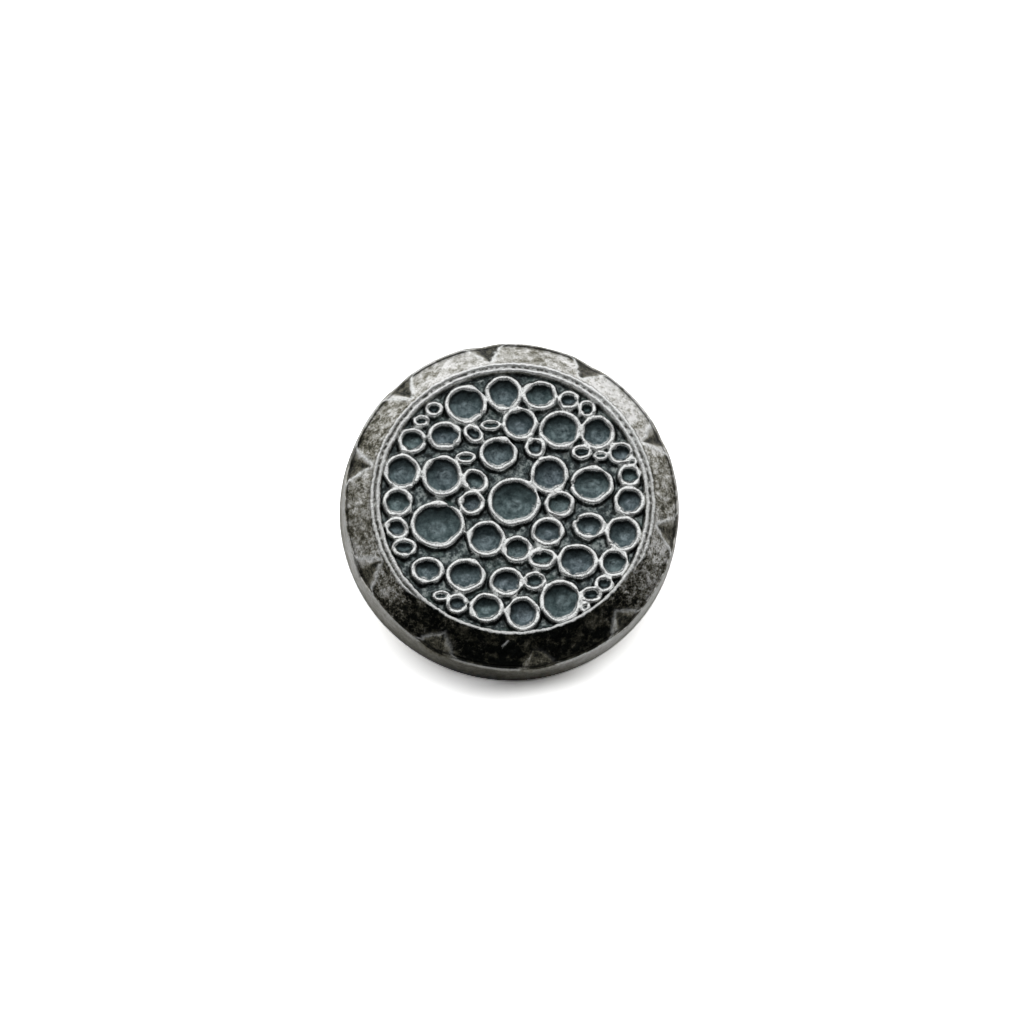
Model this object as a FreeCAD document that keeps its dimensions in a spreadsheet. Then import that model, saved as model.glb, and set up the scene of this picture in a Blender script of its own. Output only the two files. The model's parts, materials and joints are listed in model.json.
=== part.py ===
"""A cast metal shank button, lying on its shank and on the front edge of its rim.

The body is turned from one profile: a flat back, a tall side, a narrow crest, a broad bevel, a narrow land with an
engraved line, and a sunk round field. Ten V notches are filed across the bevel. The field carries hand-cut rings, each a
raised bead around a stepped bowl. A tab with a thread eye stands on the back. It is all one casting.

Millimetres. The body's own origin is on its axis, in the plane of the back, with the face towards +Z and the eye
along X. The finished button is tilted about X, as it rests, and its origin is the middle of its footprint.
"""

import FreeCAD, Part
import math
import os

import Sketcher

NODE = "button"
H_AXIS, V_AXIS = -1, -2  # a sketch's own axes
TOUCH = 1e-4  # two points nearer than this are the same

# Driving dimensions: alias, value in millimetres unless the name says otherwise.
SIZES = [
    ("base_radius", 7.5),
    ("body_thickness", 3.0),
    ("back_edge_run", 0.17),
    ("back_edge_rise", 0.12),
    ("side_foot_run", 0.05),
    ("side_foot_rise", 0.23),
    ("side_height", 2.0),
    ("side_flare", 0.07),
    ("crest_run", 0.17),
    ("crest_rise", 0.1),
    ("bevel_width", 1.0),
    ("land_width", 0.4),
    ("line_inset", 0.18),
    ("line_width", 0.12),
    ("line_depth", 0.08),
    ("field_wall_run", 0.06),
    ("field_depth", 0.4),
    ("notch_count", 10),
    ("notch_width", 1.5),
    ("notch_depth", 0.34),
    ("notch_inset", 0.12),
    ("notch_lead", 0.5),
    ("bead_height", 0.3),
    ("bead_crest_width", 0.12),
    ("bead_foot_width", 0.26),
    ("bead_facet", 0.27),
    ("bowl_depth", 0.22),
    ("shank_height", 3.4),
    ("shank_breadth", 3.6),
    ("shank_thickness", 2.2),
    ("shank_root_radius", 0.4),
    ("eye_diameter", 2.0),
    ("eye_depth", 1.6),
]

# Sizes that follow from the driving ones.
DERIVED = [
    ("side_foot_radius", "base_radius - side_foot_run"),
    ("back_radius", "side_foot_radius - back_edge_run"),
    ("side_foot", "back_edge_rise + side_foot_rise"),
    ("crest_radius", "base_radius - side_flare"),
    ("bevel_radius", "crest_radius - crest_run"),
    ("bevel_foot", "side_height + crest_rise"),
    ("land_radius", "bevel_radius - bevel_width"),
    ("field_rim_radius", "land_radius - land_width"),
    ("field_radius", "field_rim_radius - field_wall_run"),
    ("field_floor", "body_thickness - field_depth"),
    ("line_radius", "land_radius - line_inset"),
    ("line_outer_radius", "line_radius + line_width / 2"),
    ("line_inner_radius", "line_radius - line_width / 2"),
    ("line_floor", "body_thickness - line_depth"),
    ("bevel_rise", "body_thickness - bevel_foot"),
    ("notch_end_radius", "land_radius + notch_inset"),
    ("notch_end_height", "body_thickness - bevel_rise * notch_inset / bevel_width"),
    ("notch_floor", "bevel_foot - notch_depth"),
    ("notch_run", "bevel_radius - notch_end_radius"),
    ("notch_rise", "notch_end_height - notch_floor"),
    ("notch_start", "notch_floor - notch_rise * notch_lead / notch_run"),
    ("notch_top", "body_thickness * 2"),
    ("notch_half_width", "notch_width / 2 * (notch_top - notch_start) / notch_depth"),
    ("notch_length", "notch_lead + notch_run * 2"),
    ("shank_end_radius", "shank_breadth / 2"),
    ("shank_end_depth", "shank_height - shank_end_radius"),
    ("shank_end_reach", "sqrt(shank_end_depth ^ 2 + back_radius ^ 2)"),
    ("rest_tilt", "atan(shank_end_depth / back_radius) + asin(shank_end_radius / shank_end_reach)"),
    ("rest_lift", "back_radius * sin(rest_tilt)"),
]

# The rings of the field, drawn on a field of radius 100: centre across, centre up, half length, half width and
# turn in degrees. They are cut by hand, so no two are alike and there is no rule to their places.
RINGS = [
    (-24.5, 79.5, 14.5, 13.5, -5),
    (-49, 79, 5.5, 4.5, 0),
    (-60, 71, 5, 3.5, 0),
    (-44, 57.5, 11.5, 9.5, -5),
    (-69, 56.5, 9.5, 8.5, 0),
    (-22, 56, 7, 5, -45),
    (-30.5, 38.5, 6.5, 3.5, -5),
    (-80, 33.5, 12.5, 12.5, 0),
    (-50, 26.5, 14.5, 14, 75),
    (-26, 19.5, 9, 7.5, -45),
    (-31, 3, 8.5, 8, 30),
    (-86.5, 10.5, 10, 10, 0),
    (-90, -9.5, 8, 7, -45),
    (-59, -10.5, 19, 16.5, -5),
    (-86.5, -25, 8, 6, -5),
    (-24, -26, 13, 12.5, 0),
    (1, 0, 18.5, 17, 0),
    (30.5, 17, 13.5, 13, 70),
    (35, -6.5, 10, 9, 0),
    (23, -26.5, 11, 10, -5),
    (-2, -37, 10, 9, -5),
    (-5.5, 38.5, 13, 11.5, -5),
    (5.5, 84.5, 12.5, 12.5, 0),
    (32.5, 79.5, 12, 10, -5),
    (53.5, 73, 7, 6, -5),
    (66.5, 64.5, 5.5, 5.5, 0),
    (14, 59.5, 12, 11.5, 0),
    (44, 51, 14.5, 13.5, 0),
    (71.5, 45, 12, 12, 0),
    (57.5, 31.5, 6.5, 4.5, -5),
    (71.5, 27, 4.5, 2.5, -5),
    (87, 27, 8.5, 7.5, 0),
    (91, 9, 7.5, 7.5, 0),
    (88, -11, 10.5, 10, 15),
    (61.5, 5.5, 15, 13, -5),
    (55, -26, 11, 9, -5),
    (79.5, -35.5, 12.5, 12, 70),
    (69.5, -57, 10, 10, 0),
    (42, -52, 14, 12, -5),
    (16, -46.5, 9.5, 6.5, -5),
    (-13.5, -61, 11.5, 10, -5),
    (7.5, -63, 7.5, 6, -5),
    (-43.5, -52, 13.5, 11.5, -5),
    (-71.5, -44.5, 11, 9, -5),
    (-64, -65.5, 5.5, 3, -5),
    (-53, -73, 7, 6.5, -5),
    (-31.5, -79, 11.5, 10, -5),
    (-5, -87, 12, 11.5, 75),
    (25, -81, 15, 14.5, 70),
    (48.5, -79, 7, 5, -5),
    (59.5, -72, 6, 5.5, 0),
    (-8, 61, 7, 3, -5),
    (23, 39.5, 6.5, 6.5, 0),
    (94, 19, 3.5, 3, 0),
    (42.5, -88, 3, 2.5, 25),
]
LAYOUT_RADIUS = 100.0
FEWEST_FACETS = 10
# Sections of a bowl, as shares of its mouth and of its depth.
BOWL_SECTIONS = [(0.74, 0.55), (0.4, 1.0)]
BOWL_DEPTH_LIMIT = 0.9  # of the bowl's own half width
BEAD_SINK = 0.1  # how far a bead reaches into the floor that carries it
MOUTH_CLEARANCE = 0.2  # how far a cutter stands above the metal that it opens


def make_sheet(doc):
    """A spreadsheet of the driving dimensions, and of what follows from them."""
    sheet = doc.addObject("Spreadsheet::Sheet", "sizes")
    row = 1
    for alias, value in SIZES:
        sheet.set(f"A{row}", alias)
        sheet.set(f"B{row}", str(value))
        sheet.setAlias(f"B{row}", alias)
        row += 1
    for alias, formula in DERIVED:
        sheet.set(f"A{row}", alias)
        sheet.set(f"B{row}", f"={formula}")
        sheet.setAlias(f"B{row}", alias)
        row += 1
    doc.recompute()
    return sheet


def origin_feature(body, role):
    """One of the body's own origin planes or axes."""
    return next(f for f in body.Origin.OriginFeatures if f.Role == role)


def new_sketch(body, name, plane):
    sketch = body.newObject("Sketcher::SketchObject", name)
    sketch.AttachmentSupport = (origin_feature(body, plane), "")
    sketch.MapMode = "FlatFace"
    return sketch


def number(sheet, name):
    """The value of a size given by name, where a leading minus turns its sign and 0 is nought."""
    if name == "0":
        return 0.0
    value = float(getattr(sheet, name.lstrip("-")))
    return -value if name.startswith("-") else value


def bind(sketch, kind, geometry, vertex, name):
    """Hold one coordinate of a point by the size of that name, measured from the sketch's origin."""
    if name == "0":
        axis = V_AXIS if kind == "DistanceX" else H_AXIS
        sketch.addConstraint(Sketcher.Constraint("PointOnObject", geometry, vertex, axis))
        return
    points = (geometry, vertex, -1, 1) if name.startswith("-") else (-1, 1, geometry, vertex)
    value = abs(number(sketch.Document.sizes, name))
    index = sketch.addConstraint(Sketcher.Constraint(kind, *points, value))
    sketch.setExpression(f"Constraints[{index}]", f"sizes.{name.lstrip('-')}")


def hold(sketch, geometry, vertex, across, up):
    """Hold a point of the sketch by two named sizes."""
    bind(sketch, "DistanceX", geometry, vertex, across)
    bind(sketch, "DistanceY", geometry, vertex, up)


def join(sketch, first, second):
    """Join the end of one line or arc to the start of the next."""
    sketch.addConstraint(Sketcher.Constraint("Coincident", first, 2, second, 1))


def outline(sketch, corners):
    """A closed outline of straight lines, each corner held by the names of two sizes, across and up."""
    sheet = sketch.Document.sizes
    points = [FreeCAD.Vector(number(sheet, across), number(sheet, up), 0) for across, up in corners]
    count = len(points)
    for index in range(count):
        sketch.addGeometry(Part.LineSegment(points[index], points[(index + 1) % count]))
    for index in range(count):
        join(sketch, index, (index + 1) % count)
    for index, (across, up) in enumerate(corners):
        hold(sketch, index, 1, across, up)


def turn_body(body):
    """The back, side, crest, bevel, land with its line, and sunk field, turned from one profile."""
    profile = new_sketch(body, "turned_profile", "XZ_Plane")
    outline(
        profile,
        [
            ("0", "0"),
            ("back_radius", "0"),
            ("side_foot_radius", "back_edge_rise"),
            ("base_radius", "side_foot"),
            ("crest_radius", "side_height"),
            ("bevel_radius", "bevel_foot"),
            ("land_radius", "body_thickness"),
            ("line_outer_radius", "body_thickness"),
            ("line_radius", "line_floor"),
            ("line_inner_radius", "body_thickness"),
            ("field_rim_radius", "body_thickness"),
            ("field_radius", "field_floor"),
            ("0", "field_floor"),
        ],
    )
    turned = body.newObject("PartDesign::Revolution", "turned_body")
    turned.Profile = profile
    turned.ReferenceAxis = (profile, ["V_Axis"])
    turned.Angle = 360
    profile.Visibility = False
    return turned


def file_notches(body):
    """A V filed across the bevel, deepest at the outer crest, and repeated round the rim."""
    section = new_sketch(body, "notch_section", "XZ_Plane")
    section.AttachmentOffset = FreeCAD.Placement(FreeCAD.Vector(0, 0, 1), FreeCAD.Rotation())
    section.setExpression(".AttachmentOffset.Base.z", "sizes.bevel_radius + sizes.notch_lead")
    outline(section, [("0", "notch_start"), ("notch_half_width", "notch_top"), ("-notch_half_width", "notch_top")])
    notch = body.newObject("PartDesign::Pocket", "notch")
    notch.Profile = section
    notch.UseCustomVector = True
    notch.Direction = FreeCAD.Vector(0, 1, 1)
    notch.setExpression("Direction.y", "sizes.notch_run")
    notch.setExpression("Direction.z", "sizes.notch_rise")
    notch.AlongSketchNormal = True
    notch.setExpression("Length", "sizes.notch_length")
    section.Visibility = False
    body.Document.recompute()

    ring = body.newObject("PartDesign::PolarPattern", "notches")
    ring.Originals = [notch]
    ring.Axis = (origin_feature(body, "Z_Axis"), [""])
    ring.Angle = 360
    ring.setExpression("Occurrences", "sizes.notch_count")
    body.Tip = ring
    return ring


def add_shank(body):
    """The tab behind the back, with a round end, a thread eye through it and a filleted root."""
    sheet = body.Document.sizes
    half = sheet.shank_end_radius
    depth = sheet.shank_end_depth
    side = new_sketch(body, "shank_side", "YZ_Plane")
    left_top, right_top = FreeCAD.Vector(-half, 0, 0), FreeCAD.Vector(half, 0, 0)
    left_end, right_end = FreeCAD.Vector(-half, -depth, 0), FreeCAD.Vector(half, -depth, 0)
    lowest = FreeCAD.Vector(0, -depth - half, 0)
    side.addGeometry(Part.LineSegment(left_top, left_end))
    side.addGeometry(Part.Arc(left_end, lowest, right_end))
    side.addGeometry(Part.LineSegment(right_end, right_top))
    side.addGeometry(Part.LineSegment(right_top, left_top))
    join(side, 0, 1)
    join(side, 1, 2)
    join(side, 2, 3)
    join(side, 3, 0)
    hold(side, 0, 1, "-shank_end_radius", "0")
    hold(side, 2, 2, "shank_end_radius", "0")
    hold(side, 1, 3, "0", "-shank_end_depth")
    hold(side, 0, 2, "-shank_end_radius", "-shank_end_depth")
    bind(side, "DistanceY", 2, 1, "-shank_end_depth")
    shank = body.newObject("PartDesign::Pad", "shank")
    shank.Profile = side
    shank.Midplane = True
    shank.setExpression("Length", "sizes.shank_thickness")
    side.Visibility = False
    return shank


def drill_eye(body):
    """The thread eye, along X through the tab."""
    sheet = body.Document.sizes
    circle = new_sketch(body, "eye_circle", "YZ_Plane")
    centre = FreeCAD.Vector(0, -sheet.eye_depth, 0)
    circle.addGeometry(Part.Circle(centre, FreeCAD.Vector(0, 0, 1), sheet.eye_diameter / 2))
    hold(circle, 0, 3, "0", "-eye_depth")
    index = circle.addConstraint(Sketcher.Constraint("Diameter", 0, sheet.eye_diameter))
    circle.setExpression(f"Constraints[{index}]", "sizes.eye_diameter")
    eye = body.newObject("PartDesign::Pocket", "eye")
    eye.Profile = circle
    eye.Midplane = True
    eye.Type = "ThroughAll"
    circle.Visibility = False
    return eye


def round_root(body, base):
    """A fillet where the tab grows out of the back."""
    sheet = body.Document.sizes
    half_across = sheet.shank_thickness / 2 + TOUCH
    half_along = sheet.shank_breadth / 2 + TOUCH
    names = []
    for index, edge in enumerate(base.Shape.Edges, start=1):
        box = edge.BoundBox
        flat = abs(box.ZMin) < TOUCH and abs(box.ZMax) < TOUCH
        inside = box.XMax < half_across and box.YMax < half_along and box.XMin > -half_across
        if flat and inside and box.YMin > -half_along:
            names.append(f"Edge{index}")
    root = body.newObject("PartDesign::Fillet", "shank_root")
    root.Base = (base, names)
    root.setExpression("Radius", "sizes.shank_root_radius")
    return root


def make_blank(doc):
    """The button before its field is carved."""
    body = doc.addObject("PartDesign::Body", "blank")
    turn_body(body)
    doc.recompute()
    file_notches(body)
    doc.recompute()
    add_shank(body)
    doc.recompute()
    eye = drill_eye(body)
    doc.recompute()
    round_root(body, eye)
    doc.recompute()
    return body


def ring_section(ring, growth, height, sheet, share=1.0):
    """The corners of a ring's outline at a height, grown from its centre line and then drawn in by a share."""
    scale = sheet.field_radius / LAYOUT_RADIUS
    across, up, long_half, short_half, turn = ring
    long_half, short_half = long_half * scale, short_half * scale
    size = (long_half + short_half) / 2
    factor = share * (size + growth) / size
    count = max(FEWEST_FACETS, round(2 * math.pi * size / sheet.bead_facet))
    placing = FreeCAD.Placement(
        FreeCAD.Vector(across * scale, up * scale, height),
        FreeCAD.Rotation(FreeCAD.Vector(0, 0, 1), turn),
    )
    corners = []
    for index in range(count):
        angle = 2 * math.pi * index / count
        corner = FreeCAD.Vector(long_half * math.cos(angle), short_half * math.sin(angle), 0)
        corners.append(placing.multVec(corner * factor))
    return corners


def solid_through(sections):
    """A closed solid whose flat facets run from each section to the next."""
    faces = [Part.Face(Part.makePolygon(ends + ends[:1])) for ends in (sections[0], sections[-1])]
    for low, high in zip(sections, sections[1:]):
        for index in range(len(low)):
            after = (index + 1) % len(low)
            corners = [low[index], low[after], high[after], high[index], low[index]]
            faces.append(Part.Face(Part.makePolygon(corners)))
    solid = Part.Solid(Part.Shell(faces))
    if solid.Volume < 0:
        solid.reverse()
    return solid


def bead(ring, sheet):
    """The raised bead of one ring, still filled inside, from below the floor up to its crest."""
    slope = (sheet.bead_foot_width - sheet.bead_crest_width) / 2 / sheet.bead_height
    crest = sheet.bead_crest_width / 2
    foot = crest + slope * (sheet.bead_height + BEAD_SINK)
    return solid_through(
        [
            ring_section(ring, foot, sheet.field_floor - BEAD_SINK, sheet),
            ring_section(ring, crest, sheet.field_floor + sheet.bead_height, sheet),
        ]
    )


def bowl(ring, sheet):
    """What is cut out of a bead to leave its stepped bowl."""
    inset = -sheet.bead_crest_width / 2
    scale = sheet.field_radius / LAYOUT_RADIUS
    mouth = min(ring[2], ring[3]) * scale + inset
    depth = min(sheet.bowl_depth, mouth * BOWL_DEPTH_LIMIT)
    top = sheet.field_floor + sheet.bead_height
    sections = [ring_section(ring, inset, top + MOUTH_CLEARANCE, sheet), ring_section(ring, inset, top, sheet)]
    for share, level in BOWL_SECTIONS:
        sections.append(ring_section(ring, inset, top - depth * level, sheet, share))
    return solid_through(sections)


def make_feature(doc, name, shape):
    """A feature whose shape is set here."""
    feature = doc.addObject("Part::Feature", name)
    feature.Shape = shape
    feature.Visibility = False
    return feature


def carve_field(doc, blank):
    """The blank with a bead and a bowl for every ring."""
    sheet = doc.sizes
    first, *others = [bead(ring, sheet) for ring in RINGS]
    raised = doc.addObject("Part::Fuse", "raised")
    raised.Base = blank
    raised.Tool = make_feature(doc, "beads", first.multiFuse(others))
    raised.Refine = True
    button = doc.addObject("Part::Cut", "carved")
    button.Base = raised
    button.Tool = make_feature(doc, "bowls", Part.makeCompound([bowl(ring, sheet) for ring in RINGS]))
    button.Refine = True
    button.Label = NODE
    doc.recompute()
    return button


def lay_down(button, sheet):
    """Tilt the button on its shank and front edge, and put the middle of its footprint at the origin."""
    tilt = FreeCAD.Rotation(FreeCAD.Vector(1, 0, 0), float(sheet.rest_tilt))
    button.Placement = FreeCAD.Placement(FreeCAD.Vector(0, 0, float(sheet.rest_lift)), tilt)
    box = button.Shape.optimalBoundingBox(False)
    button.Placement.Base.y = -(box.YMin + box.YMax) / 2


def check(doc, parts):
    """Stop if any object failed, or if a part has no sound shape."""
    failed = [o.Name for o in doc.Objects if {"Invalid", "Error"} & set(o.State)]
    if failed:
        raise RuntimeError(f"these objects failed: {failed}")
    for part in parts:
        shape = part.Shape
        if shape.isNull() or not shape.isValid() or len(shape.Solids) != 1:
            raise RuntimeError(f"{part.Label} has no sound single solid")


def main():
    doc = FreeCAD.newDocument("shank_button")
    sheet = make_sheet(doc)
    blank = make_blank(doc)
    button = carve_field(doc, blank)
    lay_down(button, sheet)
    check(doc, [button])
    os.makedirs("parts", exist_ok=True)
    button.Shape.exportStep(f"parts/{button.Label}.step")
    print(button.Label, "volume", round(button.Shape.Volume, 2), "faces", len(button.Shape.Faces))


main()
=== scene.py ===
"""Looks for a cast metal shank button, lying on its shank and on the front edge of its rim.

One mesh stands for the casting. Its face is a surface over the button's own plane: a sunk field of hand-cut
rings, a double lip, and a bevel with filed notches. The side, the back and the shank with its thread eye
follow. Masks worked out with the form carry the finish: worn silver on what stands proud, dark patina in what
is deep. They also carry painted light and shade: painted highlights on the beads' upper sides and on the lip,
a painted reflection on a lighter disc low in each bowl, and painted shade under the bowls' upper edges, at
the beads' lower feet, in the notches and along the lower bevel and side.

Sizes are in millimetres on the button's own axis, with the face towards +Z, until place() lays it down.
Directions on the face are in degrees round from +X.
"""

import json
import math

import bmesh
import bpy
import numpy as np
from mathutils import Matrix, Vector, noise


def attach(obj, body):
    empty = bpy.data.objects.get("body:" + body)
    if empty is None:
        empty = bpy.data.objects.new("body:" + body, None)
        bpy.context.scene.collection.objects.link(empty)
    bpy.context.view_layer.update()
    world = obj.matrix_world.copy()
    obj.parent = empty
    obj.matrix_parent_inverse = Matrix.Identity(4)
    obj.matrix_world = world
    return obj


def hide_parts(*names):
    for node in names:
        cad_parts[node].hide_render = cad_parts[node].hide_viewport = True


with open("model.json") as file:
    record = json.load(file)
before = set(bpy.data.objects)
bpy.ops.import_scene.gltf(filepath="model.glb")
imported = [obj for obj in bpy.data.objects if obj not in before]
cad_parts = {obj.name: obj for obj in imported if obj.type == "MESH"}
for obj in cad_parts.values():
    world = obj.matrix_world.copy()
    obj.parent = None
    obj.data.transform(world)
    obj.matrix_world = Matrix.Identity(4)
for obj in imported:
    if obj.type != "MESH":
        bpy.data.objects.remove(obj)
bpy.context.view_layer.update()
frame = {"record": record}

MM = 0.001
NODE = "button"

# The casting's driving sizes, as in the part. Only the notches are wider, because their mouths are worn.
BODY_THICKNESS = 3.0
BASE_RADIUS = 7.5
BACK_INSET = 0.22
SIDE_HEIGHT, SIDE_FLARE = 2.0, 0.07
CREST_RUN, CREST_RISE = 0.17, 0.1
BEVEL_WIDTH, LAND_WIDTH = 1.0, 0.4
LINE_INSET = 0.18
FIELD_WALL_RUN, FIELD_DEPTH = 0.06, 0.4
NOTCH_DEPTH, NOTCH_HALF_WIDTH, NOTCH_INSET = 0.34, 0.86, 0.12
SHANK_END_DEPTH, SHANK_END_RADIUS, SHANK_THICKNESS, SHANK_ROOT = 1.6, 1.8, 2.2, 0.4
EYE_RADIUS = 1.0

# Sizes that follow from the driving ones.
BACK_RADIUS = BASE_RADIUS - BACK_INSET
CREST_RADIUS = BASE_RADIUS - SIDE_FLARE
BEVEL_RADIUS, BEVEL_FOOT = CREST_RADIUS - CREST_RUN, SIDE_HEIGHT + CREST_RISE
LAND_RADIUS = BEVEL_RADIUS - BEVEL_WIDTH
LINE_RADIUS = LAND_RADIUS - LINE_INSET
FIELD_RIM_RADIUS = LAND_RADIUS - LAND_WIDTH
FIELD_RADIUS = FIELD_RIM_RADIUS - FIELD_WALL_RUN
FIELD_FLOOR = BODY_THICKNESS - FIELD_DEPTH
NOTCH_END_RADIUS = LAND_RADIUS + NOTCH_INSET
NOTCH_END_HEIGHT = BODY_THICKNESS - (BODY_THICKNESS - BEVEL_FOOT) * NOTCH_INSET / BEVEL_WIDTH
REST_TILT = math.atan2(SHANK_END_DEPTH, BACK_RADIUS) + math.asin(
    SHANK_END_RADIUS / math.hypot(SHANK_END_DEPTH, BACK_RADIUS)
)

# The rings, on a field of radius 100: centre across, centre up, half length, half width and turn in degrees.
LAYOUT_RADIUS = 100.0
RINGS = [
    (-24.5, 79.5, 14.5, 13.5, -5),
    (-49, 79, 5.5, 4.5, 0),
    (-60, 71, 5, 3.5, 0),
    (-44, 57.5, 11.5, 9.5, -5),
    (-69, 56.5, 9.5, 8.5, 0),
    (-22, 56, 7, 5, -45),
    (-30.5, 38.5, 6.5, 3.5, -5),
    (-80, 33.5, 12.5, 12.5, 0),
    (-50, 26.5, 14.5, 14, 75),
    (-26, 19.5, 9, 7.5, -45),
    (-31, 3, 8.5, 8, 30),
    (-86.5, 10.5, 10, 10, 0),
    (-90, -9.5, 8, 7, -45),
    (-59, -10.5, 19, 16.5, -5),
    (-86.5, -25, 8, 6, -5),
    (-24, -26, 13, 12.5, 0),
    (1, 0, 18.5, 17, 0),
    (30.5, 17, 13.5, 13, 70),
    (35, -6.5, 10, 9, 0),
    (23, -26.5, 11, 10, -5),
    (-2, -37, 10, 9, -5),
    (-5.5, 38.5, 13, 11.5, -5),
    (5.5, 84.5, 12.5, 12.5, 0),
    (32.5, 79.5, 12, 10, -5),
    (53.5, 73, 7, 6, -5),
    (66.5, 64.5, 5.5, 5.5, 0),
    (14, 59.5, 12, 11.5, 0),
    (44, 51, 14.5, 13.5, 0),
    (71.5, 45, 12, 12, 0),
    (57.5, 31.5, 6.5, 4.5, -5),
    (71.5, 27, 4.5, 2.5, -5),
    (87, 27, 8.5, 7.5, 0),
    (91, 9, 7.5, 7.5, 0),
    (88, -11, 10.5, 10, 15),
    (61.5, 5.5, 15, 13, -5),
    (55, -26, 11, 9, -5),
    (79.5, -35.5, 12.5, 12, 70),
    (69.5, -57, 10, 10, 0),
    (42, -52, 14, 12, -5),
    (16, -46.5, 9.5, 6.5, -5),
    (-13.5, -61, 11.5, 10, -5),
    (7.5, -63, 7.5, 6, -5),
    (-43.5, -52, 13.5, 11.5, -5),
    (-71.5, -44.5, 11, 9, -5),
    (-64, -65.5, 5.5, 3, -5),
    (-53, -73, 7, 6.5, -5),
    (-31.5, -79, 11.5, 10, -5),
    (-5, -87, 12, 11.5, 75),
    (25, -81, 15, 14.5, 70),
    (48.5, -79, 7, 5, -5),
    (59.5, -72, 6, 5.5, 0),
    (-8, 61, 7, 3, -5),
    (23, 39.5, 6.5, 6.5, 0),
    (94, 19, 3.5, 3, 0),
    (42.5, -88, 3, 2.5, 25),
]
RING_REACH = 0.6  # how far beyond a ring its bead can matter
SMALL_RING = 0.5  # rings with a half width under this have thinner beads and less painted reflection in their bowls
EVEN_RING = 0.35  # rings with a half width under this are more even
SMALLEST_RING = 0.28  # the bowls of rings under this have no painted reflection on a lighter disc
# Steps of a sine by which each ring and notch differs from the one before, so that there is no order in them.
DISC_STEP, GLEAM_STEP, TINT_STEP, SKEW_STEP = 1.9, 1.7, 2.7, 2.3

# The beads
BEAD_HEIGHT = 0.3
BEAD_HALF_WIDTH = 0.1
BEAD_REACH = 2.5  # in half widths, where a bead sets the height
BEAD_SIDE = (0.72, 1.75)  # where the side of a bead starts and ends, in half widths
BEAD_CROWN = 0.1  # how much lower a bead is at one half width, as a share
# Where the worn bright crest of a bead fades out, in half widths, and how much further a painted highlight
# carries it on the side that faces up.
BRIGHT_CREST, LIT_UPPER_CREST = (0.86, 1.12), (0.4, 0.75)
SHADED_FOOT = (1.7, 0.45)  # where the painted shade at a bead's foot, on the side that faces down, lies, and how wide it is
BEAD_ROUGHNESS = 0.16  # in half widths
BRIDGE = 0.24  # how readily neighbouring beads run together, in half widths
# The width of a bead on the smallest rings, as a share, and what it gains on larger ones.
THIN_BEAD, BEAD_GAIN = 0.8, 0.2
THICK_BEADS = {39: 1.12}  # their width as a share, by ring number
# Beads that are nicked, as ring number and direction: a nick's half length, and how much narrower and lower
# the bead is there.
NICKS = {0: 322, 3: 307, 4: 352, 7: 307, 13: 52, 34: 172, 35: 142, 36: 217}
NICK_HALF_LENGTH, NICK_NARROWING, NICK_LOWERING = 0.07, 0.6, 0.5

# The bowls. Each has a lighter disc, a painted reflection set low in the bowl, on which the tool left faint
# rings that the paint makes glint, and painted glint traces round its lower side. The disc's sizes are shares
# of the bowl's half width.
BOWL_DEPTH = 0.24  # below the top of the bead
BOWL_STEP = 0.11  # of that, at the bead's inner edge
DEEPEST_BOWL = 0.9  # the most that a bowl's depth can be, as a share of its half width
BOWL_DISHING = 2.2  # the power with which a bowl curves up to its mouth
BOWL_INSET, BOWL_EDGE = 0.6, 0.05  # its colour starts so many half widths of the bead in, with a soft edge
CRESCENT = (0.84, 0.97)  # where the painted shade under the upper edge of a bowl starts and ends
FLOOR_UNEVEN = 0.014  # how uneven the bowls and the floor between them are, in millimetres
DISC_RADIUS, DISC_VARIES, DISC_EDGE = 0.47, 0.1, 0.12  # its size, how far that varies, and its soft edge
DISC_DROP = 0.14  # how far the disc lies below the bowl's middle
DISC_RING_GAP = 0.24  # between one faint ring and the next
DISC_RING_HEIGHT = 0.008  # in millimetres
DISC_LEAST, DISC_GAIN = 0.45, 0.55  # how light the painted reflection on the disc is between its rings, and what the rings add as painted glints
RINGS_SHOW, RINGS_VARY = 0.55, 0.7  # how clear the rings are, and how that varies round the disc
GLINT_TRACES = [(0.1, 0.035, 1.0), (0.22, 0.03, 0.7)]  # painted glints: how far off the disc, half width and strength
GLINT_TRACE_STRENGTH = 0.6

# How uneven the hand-cut rings are, for waves(): their line, their beads' width and height, and the rings on
# the discs.
RING_WOBBLE = (0.005, 0.011, 0.009, 0.006, 0.006, 0.006, 0.005)
BEAD_WOBBLE = (0.08, 0.08, 0.07, 0.08, 0.1, 0.08, 0.08)
RISE_WOBBLE = (0.04, 0.04, 0.04)
DISC_WOBBLE = (0.02, 0.015, 0.01, 0.01)

# The filed notches, a few degrees off an even spacing: the direction of each, and how light its two facets
# are,
# the further one round first: partly wear, partly painted light and shade of how each facet faces the light.
NOTCHES = [
    (17.7, 0.85, 0.9),
    (53.7, 0.25, 0.62),
    (90.7, 0.72, 0.22),
    (125.7, 1.05, 0.35),
    (158.2, 0.3, 0.75),
    (197.2, 0.42, 0.78),
    (235.2, 0.5, 0.3),
    (270.7, 0.3, 0.5),
    (305.2, 0.45, 0.75),
    (343.2, 0.62, 0.45),
]
VALLEY_SHADE = 0.2  # how light it is in the valley between the facets, darkened as painted shade
NOTCH_SKEW = 0.14  # how far a notch may run aside for its length
NOTCH_WEAR_DEPTH, NOTCH_ROUGHNESS = 0.03, 0.025
# The burrs that the file left along the notches: how high they are, how far the face is over the V where they
# are highest, and the direction in which they are worn off.
BURR_HEIGHT = 0.028
BURR_OFF, BURR_WIDTH = -0.025, 0.04
NO_BURRS_AT, NO_BURRS_SPREAD = 265, 35

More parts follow.
